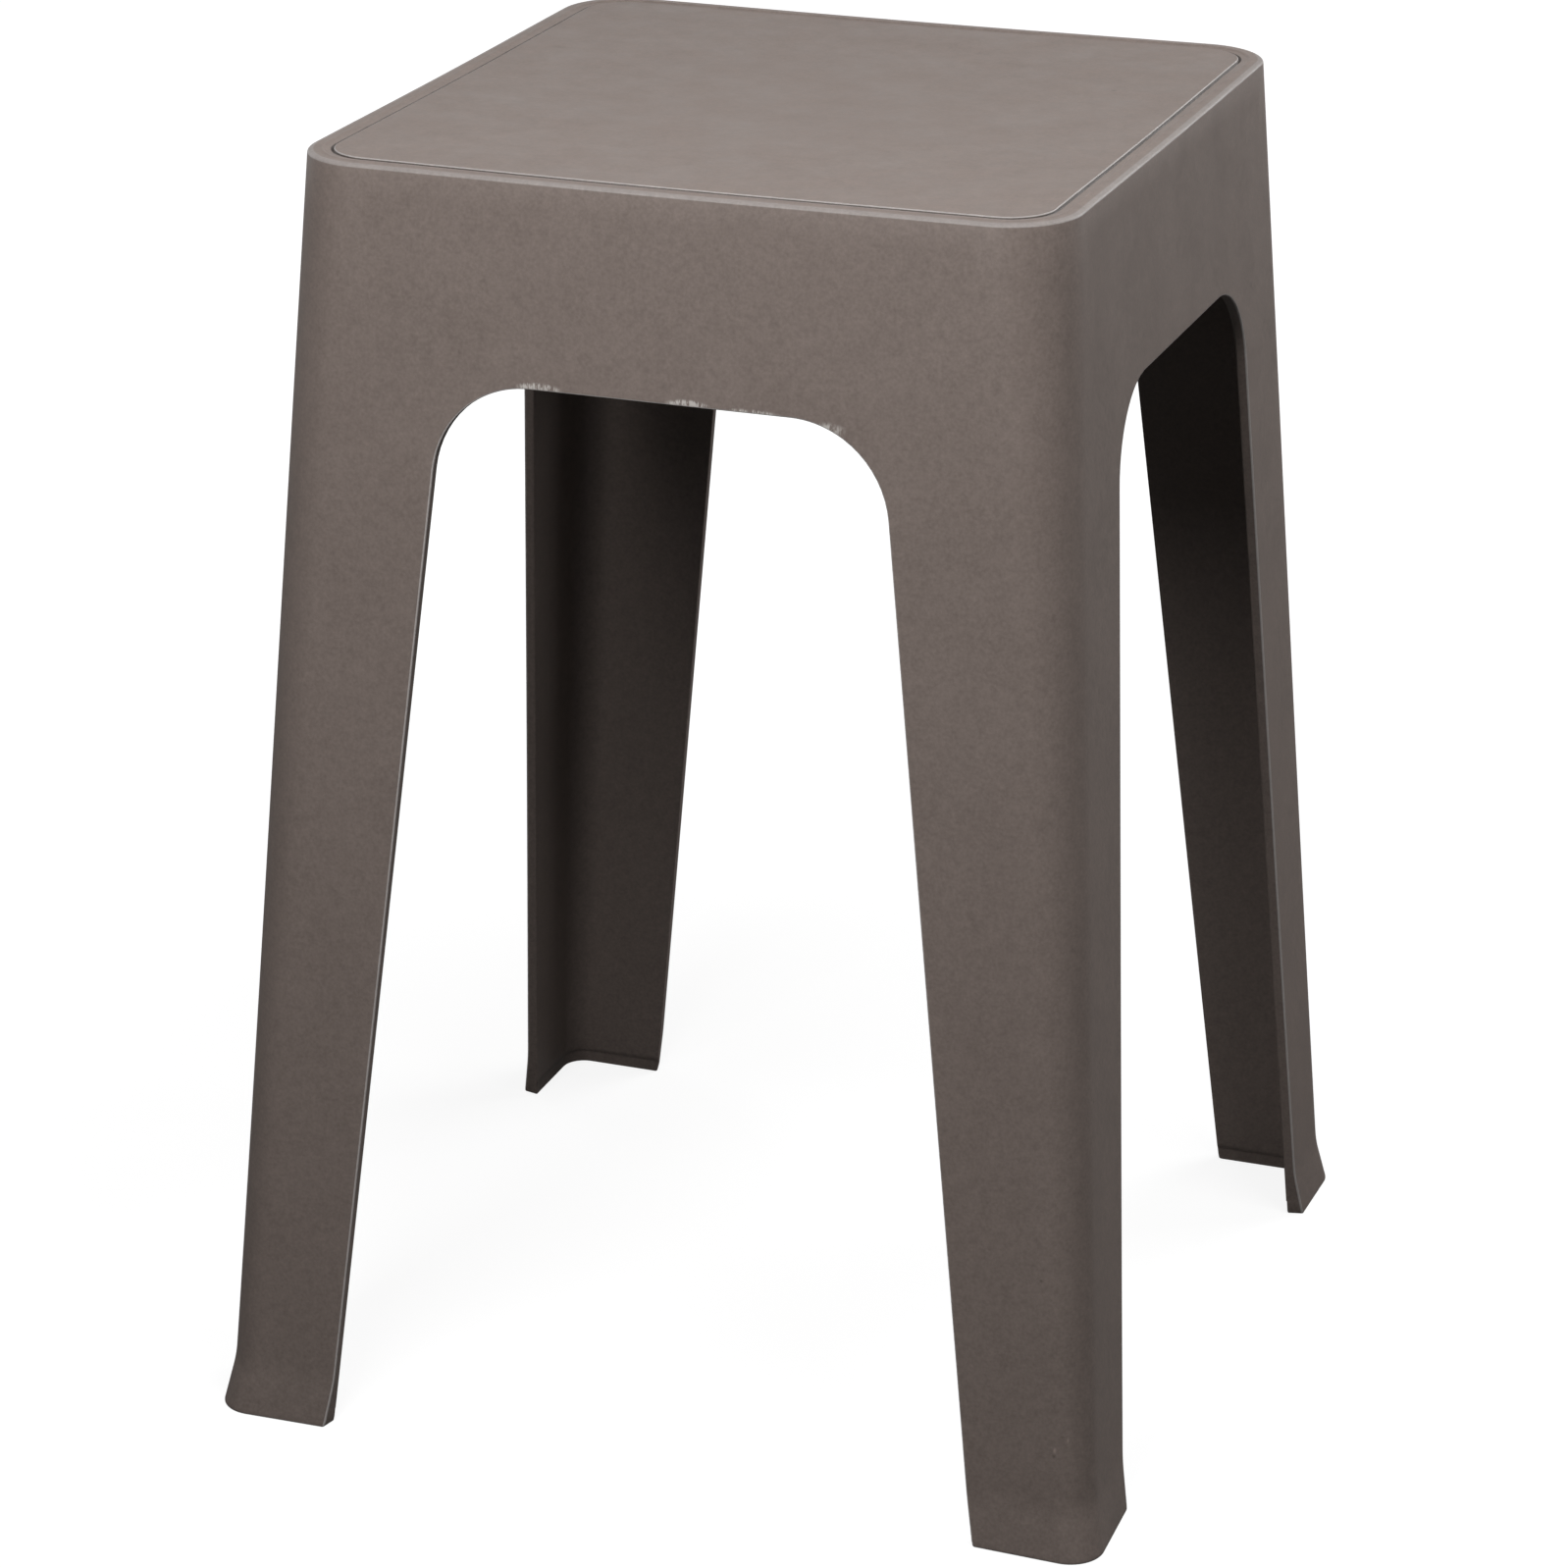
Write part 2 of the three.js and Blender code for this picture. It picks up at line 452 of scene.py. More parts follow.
def ring_points(line, pull, height, depth=0):
    """The walls' top line drawn in by a pull, at a height."""
    radius = corner_radius(height) - wall * depth
    half = wall_half(height) - wall * depth
    corner_start = line[-1].across
    points = []
    for spot in line:
        at_corner = spot.turn > 0 or abs(spot.across - corner_start) < close
        across = flat_end(height) if at_corner else spot.across
        reach = radius - pull
        points.append(Vector((
            across + reach * math.sin(spot.turn),
            radius - half - reach * math.cos(spot.turn),
            height,
        )))
    return points


def seat_profile():
    """Pulls, heights and marks over the rim, its gutter and the groove round the panel: painted
    highlights on the roundings, painted shade in the groove.
    """
    profile = []
    rim_top = seat_height - lip_height
    for share in shares(rounding_steps):
        angle = math.pi / 2 * share
        height = blend(rim_foot, rim_top, math.sin(angle))
        # The rim's rounding carries a painted highlight
        mark = ("edge_painted_highlight", rim_painted_highlight) if 0 < share < 1 else None
        profile.append((rim_rounding_width * (1 - math.cos(angle)), height, mark))
    gutter = lip_place + lip_width
    gutter_floor = seat_height - gutter_depth
    groove_floor = seat_height - groove_depth
    panel_edge = groove_place + groove_width
    profile += [
        (rim_rounding_width + gutter_depth, rim_top, None),
        (lip_place - gutter_depth, rim_top, None),
        (lip_place, seat_height - lip_height / 3, None),
        (blend(lip_place, gutter, 1 / 3), seat_height, None),
        (blend(lip_place, gutter, 2 / 3), seat_height, None),
        (gutter, seat_height - gutter_depth / 5, None),
        (gutter + gutter_depth, gutter_floor + gutter_depth / 5, None),
        (gutter + gutter_depth * 5 / 3, gutter_floor, None),
        (groove_place - gutter_depth / 2, gutter_floor, None),
        # The groove's floor and walls carry painted shade
        (groove_place, gutter_floor - gutter_depth / 5, ("groove_painted_shade", 1)),
        (blend(groove_place, panel_edge, 1 / 6), groove_floor, ("groove_painted_shade", 1)),
        (blend(groove_place, panel_edge, 5 / 6), groove_floor, ("groove_painted_shade", 1)),
        (panel_edge, seat_height - panel_edge_radius, ("groove_painted_shade", 1)),
    ]
    for share in shares(edge_steps)[1:]:
        angle = math.pi / 2 * share
        pull = panel_edge + panel_edge_radius * (1 - math.cos(angle))
        height = seat_height - panel_edge_radius * (1 - math.sin(angle))
        # The panel edge's rounding carries a painted highlight
        profile.append((pull, height, ("edge_painted_highlight", panel_edge_painted_highlight) if share < 1 else None))
    profile.append((panel_edge + 3 / 2 * panel_edge_radius, seat_height, None))
    return profile


def add_panel(sheet, ring):
    """Fills a ring in to the middle, the inner part as a square laid in rows."""
    half = panel_half * square_share
    last = len(ring) - 1
    height = ring[0].z

    def lattice(column, row):
        return Vector((half * column / last, -half * row / last, height))

    square = [lattice(column, last) for column in range(last + 1)]
    rows = []
    for share in shares(panel_steps):
        rows.append([start.lerp(end, share) for start, end in zip(ring, square)])
    sheet.strip(rows)
    for row in range(1, last + 1):
        for column in range(row):
            sheet.face([
                lattice(column, row),
                lattice(column + 1, row),
                lattice(min(column + 1, row - 1), row - 1),
                lattice(column, row - 1),
            ])


def add_seat(sheet, line):
    """The seat's top, from the rim over the groove to the panel."""
    rows = []
    for pull, height, mark in seat_profile():
        rows.append(ring_points(line, pull, height))
        if mark:
            name, amount = mark
            sheet.mark(name, rows[-1], amount)
    sheet.strip(rows)
    add_panel(sheet, rows[-1])


def add_underside(sheet, line):
    """The seat's underside, from the fillet that joins it to the walls."""
    rows = []
    for share in shares(edge_steps):
        angle = math.pi / 2 * share
        pull = under_seat_fillet * (1 - math.cos(angle))
        height = under_seat - under_seat_fillet * (1 - math.sin(angle))
        rows.append(ring_points(line, pull, height, depth=1))
    rows.append(ring_points(line, under_seat_fillet * 3 / 2, under_seat, depth=1))
    sheet.strip(rows)
    add_panel(sheet, rows[-1])


def eighth_of_shell():
    """The front wall's right half with its share of the corner, the seat and the sole."""
    # Marks for painted highlights on the edges and painted shade in the groove
    sheet = Sheet(["edge_painted_highlight", "groove_painted_shade"])
    add_seat(sheet, add_skin(sheet, rim_foot, depth=0))
    add_underside(sheet, add_skin(sheet, under_seat - under_seat_fillet, depth=1))
    add_free_edge(sheet)
    mesh = bpy.data.meshes.new("eighth")
    sheet.mesh.to_mesh(mesh)
    sheet.mesh.free()
    return mesh


# Node trees

def add_node(tree, kind, inputs=None, settings=None):
    """A node with its inputs, each a value or another node's socket, and its settings."""
    node = tree.nodes.new(kind)
    for name, value in (settings or {}).items():
        setattr(node, name, value)
    for name, value in (inputs or {}).items():
        if isinstance(value, bpy.types.NodeSocket):
            tree.links.new(value, node.inputs[name])
        else:
            node.inputs[name].default_value = value
    return node


def calculate(tree, operation, *values):
    """A Math node's result, in a tree for geometry or for a material."""
    node = add_node(tree, "ShaderNodeMath", dict(enumerate(values)), {"operation": operation})
    return node.outputs["Value"]


class Grower:
    """A Geometry Nodes tree with named inputs, run on a base mesh to give a plain mesh."""

    def __init__(self, name, sizes, material):
        self.name = name
        self.sizes = sizes
        self.material = material
        self.tree = bpy.data.node_groups.new(name, "GeometryNodeTree")
        interface = self.tree.interface
        interface.new_socket("Geometry", in_out="INPUT", socket_type="NodeSocketGeometry")
        interface.new_socket("Geometry", in_out="OUTPUT", socket_type="NodeSocketGeometry")
        self.identifiers = {}
        for label, value in sizes.items():
            kind = "NodeSocketInt" if isinstance(value, int) else "NodeSocketFloat"
            socket = interface.new_socket(label, in_out="INPUT", socket_type=kind)
            self.identifiers[label] = socket.identifier
        self.source = self.tree.nodes.new("NodeGroupInput").outputs

    def node(self, kind, inputs=None, settings=None):
        return add_node(self.tree, kind, inputs, settings)

    def join(self, *geometries):
        joined = self.node("GeometryNodeJoinGeometry")
        for geometry in geometries:
            self.tree.links.new(geometry, joined.inputs["Geometry"])
        return joined.outputs["Geometry"]

    def finish(self, geometry):
        real = self.node("GeometryNodeRealizeInstances", {"Geometry": geometry})
        dressed = self.node("GeometryNodeSetMaterial", {
            "Geometry": real.outputs["Geometry"],
            "Material": self.material,
        })
        self.node("NodeGroupOutput", {"Geometry": dressed.outputs["Geometry"]})

    def grow(self, base):
        """Runs the tree on the base mesh and keeps the result as an object at the origin."""
        scene = bpy.context.scene
        seed = bpy.data.objects.new(f"{self.name}_seed", base)
        scene.collection.objects.link(seed)
        modifier = seed.modifiers.new("Nodes", "NODES")
        modifier.node_group = self.tree
        for label, value in self.sizes.items():
            modifier[self.identifiers[label]] = value
        graph = bpy.context.evaluated_depsgraph_get()
        mesh = bpy.data.meshes.new_from_object(seed.evaluated_get(graph), depsgraph=graph)
        seed.modifiers.remove(modifier)
        bpy.data.objects.remove(seed)
        mesh.name = self.name
        piece = bpy.data.objects.new(self.name, mesh)
        scene.collection.objects.link(piece)
        return piece


def face_outwards(piece):
    """Welds the points that coincide and turns every face outwards."""
    mesh = bmesh.new()
    mesh.from_mesh(piece.data)
    bmesh.ops.remove_doubles(mesh, verts=mesh.verts, dist=close)
    bmesh.ops.recalc_face_normals(mesh, faces=mesh.faces)
    mesh.to_mesh(piece.data)
    mesh.free()
    piece.data.shade_smooth()


# The shell, grown from its eighth

def build_shell(material):
    """Mirrors the eighth into one side of the stool and sets that side on all four sides."""
    grower = Grower("moulded_shell", {"Sides": 4}, material)
    mirrored = grower.node("GeometryNodeTransform", {
        "Geometry": grower.source["Geometry"],
        "Scale": (-1, 1, 1),
    })
    flipped = grower.node("GeometryNodeFlipFaces", {"Mesh": mirrored.outputs["Geometry"]})
    side = grower.join(grower.source["Geometry"], flipped.outputs["Mesh"])
    index = grower.node("GeometryNodeInputIndex").outputs["Index"]
    step = calculate(grower.tree, "DIVIDE", math.tau, grower.source["Sides"])
    facing = grower.node("ShaderNodeCombineXYZ", {"Z": calculate(grower.tree, "MULTIPLY", index, step)})
    places = grower.node("GeometryNodePoints", {"Count": grower.source["Sides"]})
    sides = grower.node("GeometryNodeInstanceOnPoints", {
        "Points": places.outputs["Points"],
        "Instance": side,
        "Rotation": facing.outputs["Vector"],
    })
    grower.finish(sides.outputs["Instances"])
    shell = grower.grow(eighth_of_shell())
    face_outwards(shell)
    return shell


# Ribs and ring under the seat

def rib_outline():
    """A rib's section as a loop: how far across, and how far down from the seat's underside."""
    half = [
        (rib_tip / 2 - rib_tip_rounding, rib_depth),
        (rib_tip / 2, rib_depth - rib_tip_rounding),
    ]
    for share in shares(edge_steps):
        angle = math.pi / 2 * share
        across = rib_root / 2 + rib_fillet * (1 - math.cos(angle))
        half.append((across, rib_fillet * (1 - math.sin(angle))))
    half.append((rib_root / 2 + rib_fillet, -embed))
    loop = half + [(-across, down) for across, down in reversed(half)]
    mesh = bpy.data.meshes.new("rib_outline")
    count = len(loop)
    edges = [(index, (index + 1) % count) for index in range(count)]
    mesh.from_pydata([(across, down, 0) for across, down in loop], edges, [])
    return mesh


def rib_sizes():
    """The ribs run from the ring's middle line into the walls and into the corners."""
    low_half = wall_half(under_seat - rib_depth)
    low_radius = corner_radius(under_seat - rib_depth)
    corner_half = (low_half - low_radius) * math.sqrt(2) + low_radius
    inner_end = ring_radius - ring_wall / 2
    return {
        "Ribs": rib_count,
        "Inner end": inner_end,
        "Side length": low_half - wall + embed - inner_end,
        "Corner length": corner_half - wall + embed - inner_end,
        "Underside height": under_seat,
    }


def rib_paths(grower):
    """A line for each rib, set round the middle, every second one long enough for a corner."""
    tree = grower.tree
    source = grower.source
    index = grower.node("GeometryNodeInputIndex").outputs["Index"]
    angle = calculate(tree, "MULTIPLY", index, calculate(tree, "DIVIDE", math.tau, source["Ribs"]))
    to_corner = calculate(tree, "MODULO", index, 2)
    spare = calculate(tree, "SUBTRACT", source["Corner length"], source["Side length"])
    length = calculate(tree, "MULTIPLY_ADD", to_corner, spare, source["Side length"])
    inner = calculate(tree, "MULTIPLY", source["Inner end"], -1)
    start = grower.node("ShaderNodeVectorRotate", {
        "Vector": grower.node("ShaderNodeCombineXYZ", {"Y": inner}).outputs["Vector"],
        "Angle": angle,
    }, {"rotation_type": "Z_AXIS"})
    places = grower.node("GeometryNodePoints", {
        "Count": source["Ribs"],
        "Position": start.outputs["Vector"],
    })
    line = grower.node("GeometryNodeCurvePrimitiveLine", {"Start": (0, 0, 0), "End": (0, -1, 0)})
    lines = grower.node("GeometryNodeInstanceOnPoints", {
        "Points": places.outputs["Points"],
        "Instance": line.outputs["Curve"],
        "Rotation": grower.node("ShaderNodeCombineXYZ", {"Z": angle}).outputs["Vector"],
        "Scale": grower.node("ShaderNodeCombineXYZ", {"X": 1, "Y": length, "Z": 1}).outputs["Vector"],
    })
    real_lines = grower.node("GeometryNodeRealizeInstances", {"Geometry": lines.outputs["Instances"]})
    return grower.node("GeometryNodeResampleCurve", {
        "Curve": real_lines.outputs["Geometry"],
        "Count": rib_steps,
    }).outputs["Curve"]


def build_ribs(material):
    """Sweeps the rib's outline along the ribs' lines and round the ring, under the seat."""
    grower = Grower("under_seat_ribs", rib_sizes(), material)
    source = grower.source
    outline = grower.node("GeometryNodeMeshToCurve", {"Mesh": source["Geometry"]})
    circle = grower.node("GeometryNodeCurvePrimitiveCircle", {
        "Resolution": ring_steps,
        "Radius": source["Inner end"],
    })
    swept = grower.node("GeometryNodeCurveToMesh", {
        "Curve": grower.join(rib_paths(grower), circle.outputs["Curve"]),
        "Profile Curve": outline.outputs["Curve"],
        "Fill Caps": True,
    })
    lift = grower.node("ShaderNodeCombineXYZ", {"Z": source["Underside height"]})
    raised = grower.node("GeometryNodeTransform", {
        "Geometry": swept.outputs["Mesh"],
        "Translation": lift.outputs["Vector"],
    })
    grower.finish(raised.outputs["Geometry"])
    ribs = grower.grow(rib_outline())
    for vertex in ribs.data.vertices:
        vertex.co = sunk(vertex.co)
    face_outwards(ribs)
    ribs.data.set_sharp_from_angle(angle=sharp_angle)
    return ribs


# Material: satin taupe plastic with a fine eroded grain, the marks of moulding and use, painted
# highlights on its edges and painted shade in its seat's groove

taupe = (0.184, 0.1485, 0.1315)
pale_scuff = (0.52, 0.49, 0.46)
base_roughness = 0.5
refraction = 1.49
gloss_level = 0.35
streak_half_width = 7 * MM

# Sizes of the patterns' features
grain_size = 1.2 * MM
mottle_size = 3.5 * MM
seat_mottle_size = 6 * MM
cloud_size = 22 * MM
wave_size = 70 * MM
scuff_size = 1.2 * MM

# How much each pattern lightens the colour, or darkens it where it is below nought
grain_tone = 0.58
mottle_tone = 0.27
cloud_tone = 0.1
wave_tone = 0.06
streak_tone = 0.02
seat_mottle_tone = 0.38
foot_tone = -0.08
# Painted shade in the seat's groove
groove_shade_tone = -0.65
# Painted highlights on the rounded edges
highlight_tone = 1.3

# Edges with a painted highlight lose colour, as under a white gloss, down to a least share of it
highlight_fading = 1.8
least_colour = 0.4

# The scuffs' hairs: how upright, how crisp and how opaque they are
hair_stretch = 4
hair_contrast = 0.08
most_scuff = 0.9

# How much each pattern changes the roughness
cloud_dullness = 0.3
mottle_dullness = 0.15
grain_dullness = 0.15

# Bumps too small for the mesh
grain_bump = 0.12
grain_bump_depth = 0.15 * MM
wave_bump = 0.15
wave_bump_depth = 1.2 * MM

# Each mark: its middle and its reach along x, y and z in millimetres, and how light it is
dark_and_light_marks = [
    ((0, 17, 460), (14, 14, 4), 0.02),
    ((96.6, 54.4, 460), (1.6, 1.2, 3), -0.5),
    ((-112, 49, 460), (5, 3, 3), -0.12),
    ((-5, -98, 460), (1.2, 0.9, 3), -0.3),
    ((-12, -75, 460), (0.9, 0.9, 3), -0.3),
    ((-40, -79, 460), (1.2, 0.9, 3), -0.3),
    ((-72, -33, 460), (1.3, 1.1, 3), 0.25),
    ((70, -53, 460), (1, 1, 3), -0.3),
    ((137, 75, 400), (4, 14, 8), -0.08),
    ((139, 50, 393), (3, 1.5, 1), 0.3),
    ((150, -109, 193), (4, 0.6, 7), 0.2),
    ((152, -136, 161), (5, 0.9, 0.9), -0.35),
    # Two scratches low on the front foot: pale scuffs, each with a painted shadow beside it
    ((150.2, -161, 40.6), (0.8, 4, 1.5), 0.6),
    ((150, -161, 38.4), (1, 4, 1.1), -0.4),
    ((154.3, -161, 44.5), (0.6, 4, 1.8), 0.6),
    ((152.6, -161, 45.6), (1.4, 4, 0.8), -0.3),
    ((143, -157, 102), (0.9, 4, 0.9), -0.35),
]

# Whitish traces of trimmed flash along the front arch's edge, as above
flash_traces = [
    ((-42.5, -139.3, 390.6), (9, 2, 2.4), 4),
    ((10.5, -139.3, 390.4), (9, 2, 2.4), 3.5),
    ((33, -139.3, 390.2), (12, 2, 1.6), 2),
    ((59, -139.3, 387.6), (8, 2, 2.8), 1.2),
]


def mark_group():
    """A node group: a soft spot that is 1 at its middle and 0 at its reach."""
    group = bpy.data.node_groups.new("soft_spot", "ShaderNodeTree")
    for label in ("Place", "Middle", "Reach"):
        group.interface.new_socket(label, in_out="INPUT", socket_type="NodeSocketVector")
    group.interface.new_socket("Amount", in_out="OUTPUT", socket_type="NodeSocketFloat")
    source = group.nodes.new("NodeGroupInput").outputs
    away = add_node(group, "ShaderNodeVectorMath", {
        0: source["Place"],
        1: source["Middle"],
    }, {"operation": "SUBTRACT"})
    scaled = add_node(group, "ShaderNodeVectorMath", {
        0: away.outputs["Vector"],
        1: source["Reach"],
    }, {"operation": "DIVIDE"})
    distance = add_node(group, "ShaderNodeVectorMath", {
        0: scaled.outputs["Vector"],
    }, {"operation": "LENGTH"})
    soft = add_node(group, "ShaderNodeMapRange", {
        "Value": distance.outputs["Value"],
        "From Min": 1,
        "From Max": 0,
    }, {"interpolation_type": "SMOOTHSTEP"})
    add_node(group, "NodeGroupOutput", {"Amount": soft.outputs["Result"]})
    return group


class Finish:
    """A plastic's material tree, with short ways to its patterns."""

    def __init__(self, name):
        self.material = bpy.data.materials.new(name)
        self.material.use_nodes = True
        self.tree = self.material.node_tree
        self.surface = self.tree.nodes["Principled BSDF"]
        self.place = self.tree.nodes.new("ShaderNodeTexCoord").outputs["Object"]
        self.spot = mark_group()

    def node(self, kind, inputs=None, settings=None):
        return add_node(self.tree, kind, inputs, settings)

    def noise(self, size, detail=2, roughness=0.5, place=None):
        """Noise about nought, with features of the given size."""
        texture = self.node("ShaderNodeTexNoise", {
            "Vector": place or self.place,
            "Scale": 1 / size,
            "Detail": detail,
            "Roughness": roughness,
        })
        return calculate(self.tree, "SUBTRACT", texture.outputs["Fac"], 0.5)

    def scaled_sum(self, *parts):
        """The sum of sockets, each times its share."""
        total = None
        for socket, share in parts:
            if total is None:
                total = calculate(self.tree, "MULTIPLY", socket, share)
            else:
                total = calculate(self.tree, "MULTIPLY_ADD", socket, share, total)
        return total

    def attribute(self, name):
        return self.node("ShaderNodeAttribute", settings={"attribute_name": name}).outputs["Fac"]

    def soft_spot(self, middle, reach):
        """A soft spot at a place and with a reach in millimetres."""
        node = self.node("ShaderNodeGroup", {
            "Place": self.place,
            "Middle": [value * MM for value in middle],
            "Reach": [value * MM for value in reach],
        }, {"node_tree": self.spot})
        return node.outputs["Amount"]

    def between(self, value, low, high):
        """How far a value is from low to high, smoothly, as a share."""
        node = self.node("ShaderNodeMapRange", {
            "Value": value,
            "From Min": low,
            "From Max": high,
        }, {"interpolation_type": "SMOOTHSTEP"})
        return node.outputs["Result"]


def seat_and_foot_tones(finish):
    """Faint streaks over the corner ribs, the seat's wear in patches, and feet darker towards the
    floor.
    """
    tree = finish.tree
    parts = finish.node("ShaderNodeSeparateXYZ", {"Vector": finish.place}).outputs
    across = calculate(tree, "ABSOLUTE", parts["X"])
    along = calculate(tree, "ABSOLUTE", parts["Y"])
    off_diagonal = calculate(tree, "ABSOLUTE", calculate(tree, "SUBTRACT", across, along))
    streak = finish.between(off_diagonal, streak_half_width, 0)
    worn = finish.noise(seat_mottle_size, detail=4, roughness=0.75)
    on_seat = finish.between(parts["Z"], rim_foot - rim_rounding, rim_foot)
    return [
        (calculate(tree, "MULTIPLY", streak, on_seat), streak_tone),
        (calculate(tree, "MULTIPLY", worn, on_seat), seat_mottle_tone),
        (finish.between(parts["Z"], foot_height, sole_line), foot_tone),
    ]


def patterned_colour(finish, patterns):
    """The plastic's colour, lightened and darkened by its patterns and marks, with painted shade in the
    groove and painted highlights on the edges.
    """
    tree = finish.tree
    tone = patterns + seat_and_foot_tones(finish)
    for middle, reach, lightness in dark_and_light_marks:
        tone.append((finish.soft_spot(middle, reach), lightness))
    # Painted shade in the groove
    tone.append((finish.attribute("groove_painted_shade"), groove_shade_tone))
    # Painted highlights on the edges, paler in colour like a white gloss
    highlit_edge = finish.attribute("edge_painted_highlight")
    tone.append((highlit_edge, highlight_tone))
    faded = calculate(tree, "MULTIPLY_ADD", highlit_edge, -highlight_fading, 1)
    shade = finish.node("ShaderNodeHueSaturation", {
        "Saturation": calculate(tree, "MAXIMUM", faded, least_colour),
        "Value": calculate(tree, "ADD", finish.scaled_sum(*tone), 1),
        "Color": (*taupe, 1),
    })
    return shade.outputs["Color"]


def scuffed_colour(finish, colour):
    """The colour under whitish upright hairs, where flash was trimmed."""
    tree = finish.tree
    traces = [(finish.soft_spot(middle, reach), strength) for middle, reach, strength in flash_traces]
    upright = finish.node("ShaderNodeMapping", {
        "Vector": finish.place,
        "Scale": (1, 1, 1 / hair_stretch),
    })
    hairs = finish.noise(scuff_size, detail=3, roughness=0.7, place=upright.outputs["Vector"])
    crisp = finish.between(hairs, -hair_contrast, hair_contrast)
    scuffed = calculate(tree, "MULTIPLY", finish.scaled_sum(*traces), crisp)
    # A Mix node's sockets for colours go by number
    mixed = finish.node("ShaderNodeMix", {
        0: calculate(tree, "MINIMUM", scuffed, most_scuff),
        6: colour,
        7: (*pale_scuff, 1),
    }, {"data_type": "RGBA"})
    return mixed.outputs[2]


def bumps(finish, grain, waves):
    """The fine grain's bumps under the broad waves of a large moulded face."""
    fine = finish.node("ShaderNodeBump", {
        "Height": grain,
        "Strength": grain_bump,
        "Distance": grain_bump_depth,
    })
    broad = finish.node("ShaderNodeBump", {
        "Height": waves,
        "Strength": wave_bump,
        "Distance": wave_bump_depth,
        "Normal": fine.outputs["Normal"],
    })
    return broad.outputs["Normal"]


def moulded_plastic():
    finish = Finish("satin_taupe_plastic")
    tree = finish.tree
    surface = finish.surface.inputs
    grain = finish.noise(grain_size, detail=3, roughness=0.6)
    mottle = finish.noise(mottle_size, detail=2)
    clouds = finish.noise(cloud_size, detail=3)
    waves = finish.noise(wave_size, detail=1)
    tones = [(grain, grain_tone), (mottle, mottle_tone), (clouds, cloud_tone), (waves, wave_tone)]
    dullness = [(clouds, cloud_dullness), (mottle, mottle_dullness), (grain, grain_dullness)]
    roughness = calculate(tree, "ADD", finish.scaled_sum(*dullness), base_roughness)
    tree.links.new(scuffed_colour(finish, patterned_colour(finish, tones)), surface["Base Color"])
    tree.links.new(roughness, surface["Roughness"])
    tree.links.new(bumps(finish, grain, waves), surface["Normal"])
    surface["IOR"].default_value = refraction
    surface["Specular IOR Level"].default_value = gloss_level
    return finish.material


plastic = moulded_plastic()
shell = build_shell(plastic)
ribs = build_ribs(plastic)
rib_nodes = [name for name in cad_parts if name.startswith(("rib_", "centre_ring"))]
shell_nodes = [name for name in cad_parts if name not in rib_nodes]
for piece, nodes in ((shell, shell_nodes), (ribs, rib_nodes)):
    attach(piece, "root")
    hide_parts(*nodes)


# Floor, world, lights and camera

# The floor that is seen glows, less near the stool than far from it, under a pale paint that keeps
# the shadow. A gloss sees a share of the white, and all other rays meet a low tone.
floor_size = 6
shadow_glow = 0.86
shadow_near = 0.3
shadow_far = 0.9
floor_paint = 0.22
floor_tone = 0.06
ambient = 0.02
backdrop_in_gloss = 0.4
floor_in_gloss = 0.08


def seen_directly(tree, gloss_share):
    """The share of white seen by a ray: all by the camera and through glass, some in a gloss."""
    path = tree.nodes.new("ShaderNodeLightPath").outputs
    in_gloss = calculate(tree, "MULTIPLY", path["Is Glossy Ray"], gloss_share)
    seen = calculate(tree, "MAXIMUM", path["Is Camera Ray"], in_gloss)
    return calculate(tree, "MAXIMUM", seen, path["Is Transmission Ray"])


def grey(level):
    return (level, level, level, 1)


def white_paper():
    """Looks white where it is seen, keeps a faint shadow and throws little light back."""
    material = bpy.data.materials.new("white_paper")
    material.use_nodes = True
    tree = material.node_tree
    tree.nodes.clear()
    place = tree.nodes.new("ShaderNodeTexCoord").outputs["Object"]
    away = add_node(tree, "ShaderNodeVectorMath", {0: place}, {"operation": "LENGTH"})
    brightness = add_node(tree, "ShaderNodeMapRange", {
        "Value": away.outputs["Value"],
        "From Min": shadow_near,
        "From Max": shadow_far,
        "To Min": shadow_glow,
    }, {"interpolation_type": "SMOOTHSTEP"})
    glow = add_node(tree, "ShaderNodeEmission", {"Strength": brightness.outputs["Result"]})
    paint = add_node(tree, "ShaderNodeBsdfDiffuse", {"Color": grey(floor_paint)})
    tone = add_node(tree, "ShaderNodeBsdfDiffuse", {"Color": grey(floor_tone)})
    seen = add_node(tree, "ShaderNodeAddShader", {
        0: glow.outputs["Emission"],
        1: paint.outputs["BSDF"],
    })
    mixed = add_node(tree, "ShaderNodeMixShader", {
        0: seen_directly(tree, floor_in_gloss),
        1: tone.outputs["BSDF"],
        2: seen.outputs["Shader"],
    })
    add_node(tree, "ShaderNodeOutputMaterial", {"Surface": mixed.outputs["Shader"]})
    return material


def build_floor():
    mesh = bpy.data.meshes.new("floor")
    reach = floor_size / 2
    corners = [(-reach, -reach, 0), (reach, -reach, 0), (reach, reach, 0), (-reach, reach, 0)]
    mesh.from_pydata(corners, [], [(0, 1, 2, 3)])
    mesh.materials.append(white_paper())
    floor = bpy.data.objects.new("floor", mesh)
    bpy.context.scene.collection.objects.link(floor)


def build_world():
    world = bpy.data.worlds.new("studio")
    bpy.context.scene.world = world
    world.use_nodes = True
    tree = world.node_tree
    tree.nodes.clear()
    strength = add_node(tree, "ShaderNodeMapRange", {
        "Value": seen_directly(tree, backdrop_in_gloss),
        "To Min": ambient,
        "To Max": 1,
    })
    sky = add_node(tree, "ShaderNodeBackground", {
        "Color": grey(1),
        "Strength": strength.outputs["Result"],
    })
    add_node(tree, "ShaderNodeOutputWorld", {"Surface": sky.outputs["Background"]})


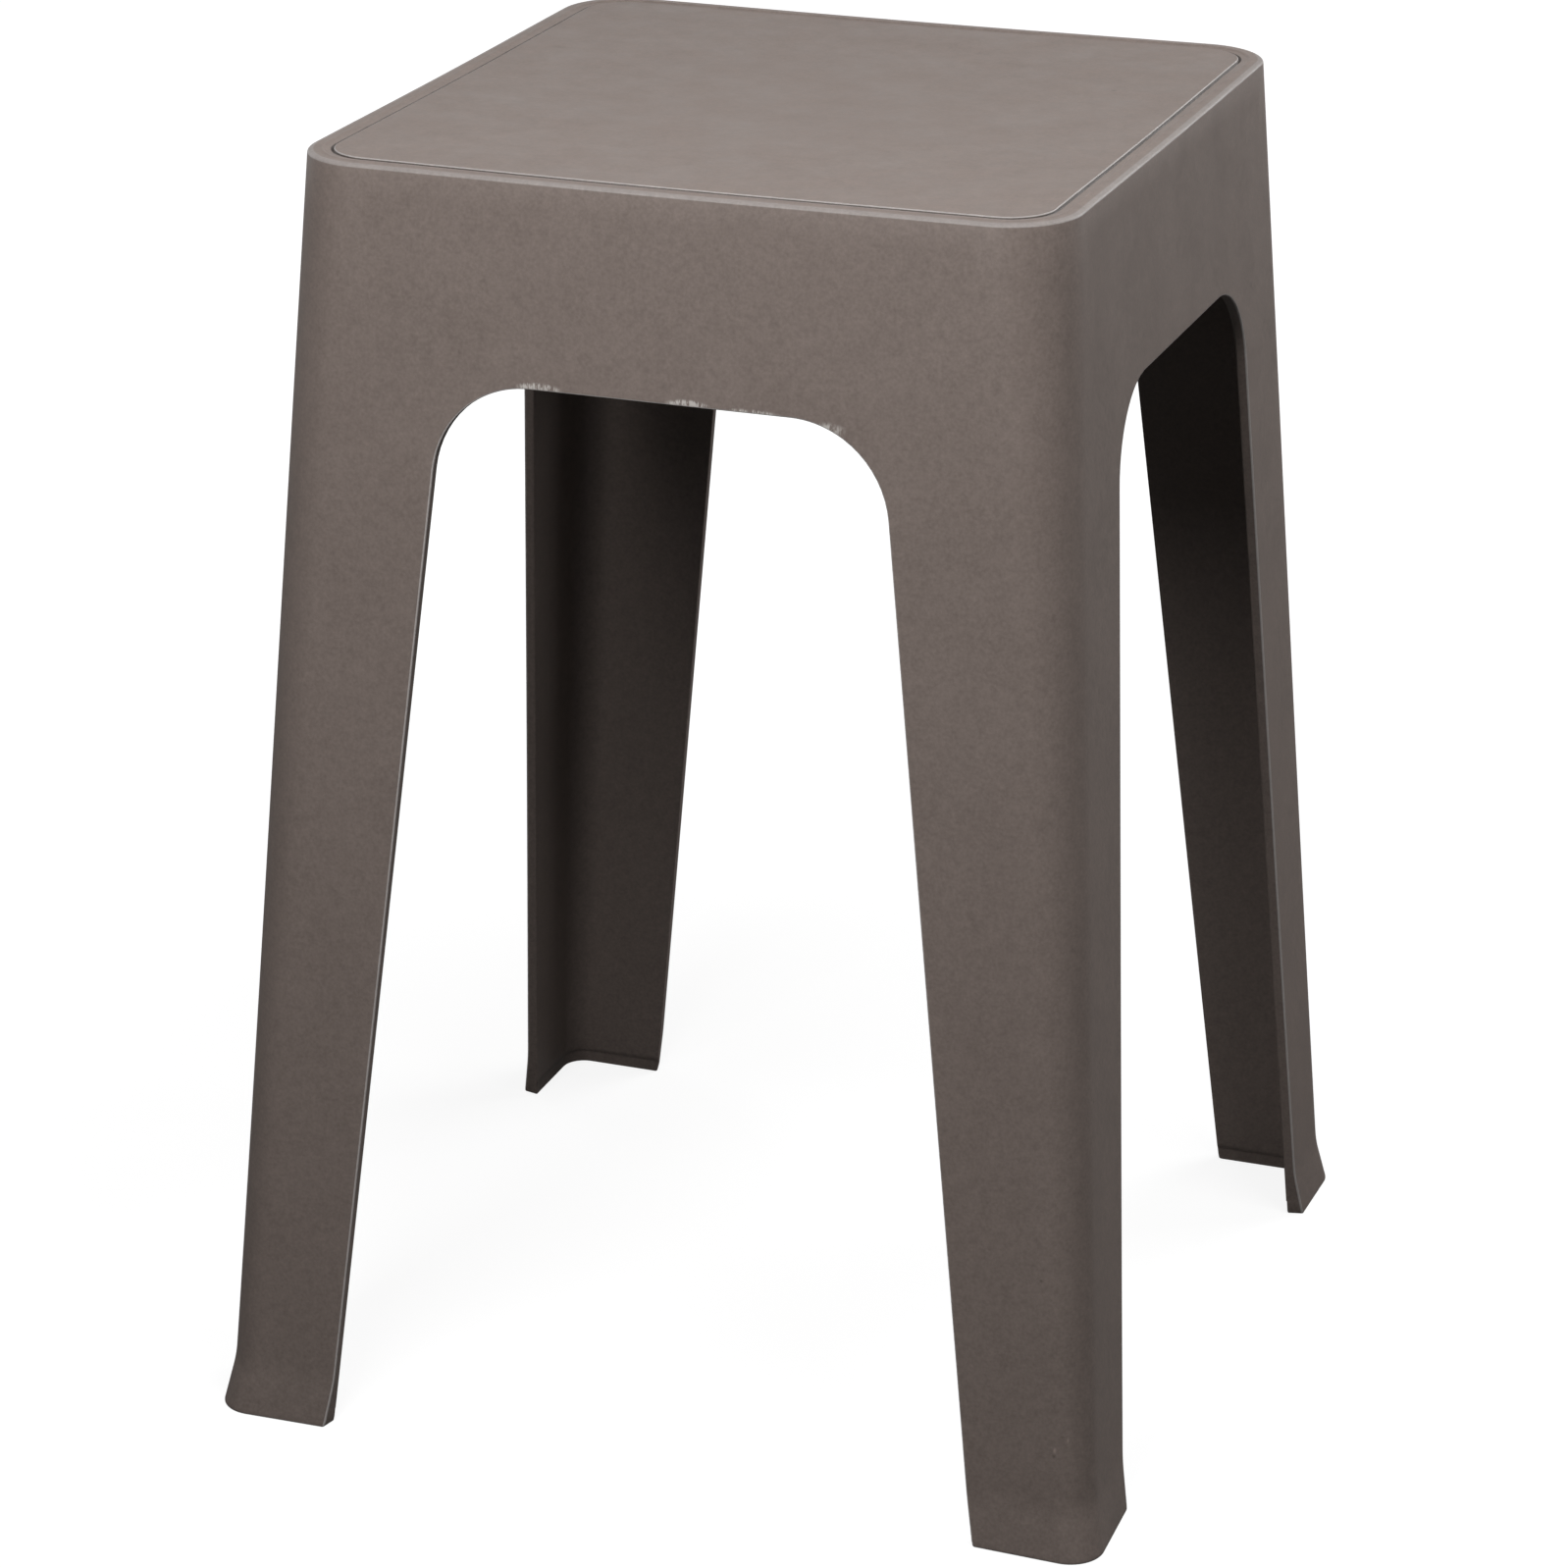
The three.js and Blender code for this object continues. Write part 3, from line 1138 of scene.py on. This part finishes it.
# Each square softbox: its place, its size in metres and its power in watts; it faces the stool
softboxes = {
    "top": ((0.09, -0.24, 1.27), 0.6, 2.6),
    "front": ((-0.06, -0.85, 0.92), 0.5, 7),
    "high_right": ((1.07, -0.62, 1.88), 1, 14.3),
    "right": ((0.81, 0.81, 1.26), 0.7, 5.8),
    "back_right": ((1.05, 1.81, 0.98), 1, 13.5),
    "back": ((-0.75, 1.9, 1), 1, 1.2),
    "back_left": ((-1.8, 1, 0.75), 1, 6),
}


def build_softboxes():
    aim = Vector((0, 0, seat_height * 2 / 3))
    for name, (place, size, power) in softboxes.items():
        data = bpy.data.lights.new(f"softbox_{name}", "AREA")
        data.shape = "SQUARE"
        data.size = size
        data.energy = power
        light = bpy.data.objects.new(data.name, data)
        bpy.context.scene.collection.objects.link(light)
        light.location = place
        light.rotation_euler = (aim - light.location).to_track_quat("-Z", "Y").to_euler()
        light.visible_camera = False


# The photograph's viewpoint; the focal length is a share of the picture's width
camera_azimuth = math.radians(20.023)
camera_elevation = math.radians(21.465)
camera_roll = math.radians(0.025)
camera_distance = 1787.66 * MM
aim_right = -6.305 * MM
aim_up = -23.61 * MM
focal_share = 3.12597
sensor_width = 36


def build_camera():
    data = bpy.data.cameras.new("camera")
    data.sensor_width = sensor_width
    data.lens = focal_share * sensor_width
    camera = bpy.data.objects.new("camera", data)
    bpy.context.scene.collection.objects.link(camera)
    forward = Vector((
        -math.sin(camera_azimuth) * math.cos(camera_elevation),
        math.cos(camera_azimuth) * math.cos(camera_elevation),
        -math.sin(camera_elevation),
    ))
    right = Vector((math.cos(camera_azimuth), math.sin(camera_azimuth), 0))
    up = right.cross(forward)
    aim = Vector((0, 0, seat_height / 2)) + right * aim_right + up * aim_up
    level = Matrix((right, up, -forward)).transposed()
    turned = level @ Matrix.Rotation(camera_roll, 3, "Z")
    camera.matrix_world = Matrix.Translation(aim - forward * camera_distance) @ turned.to_4x4()
    bpy.context.scene.camera = camera


build_floor()
build_world()
build_softboxes()
build_camera()
bpy.context.scene.view_settings.view_transform = "Standard"
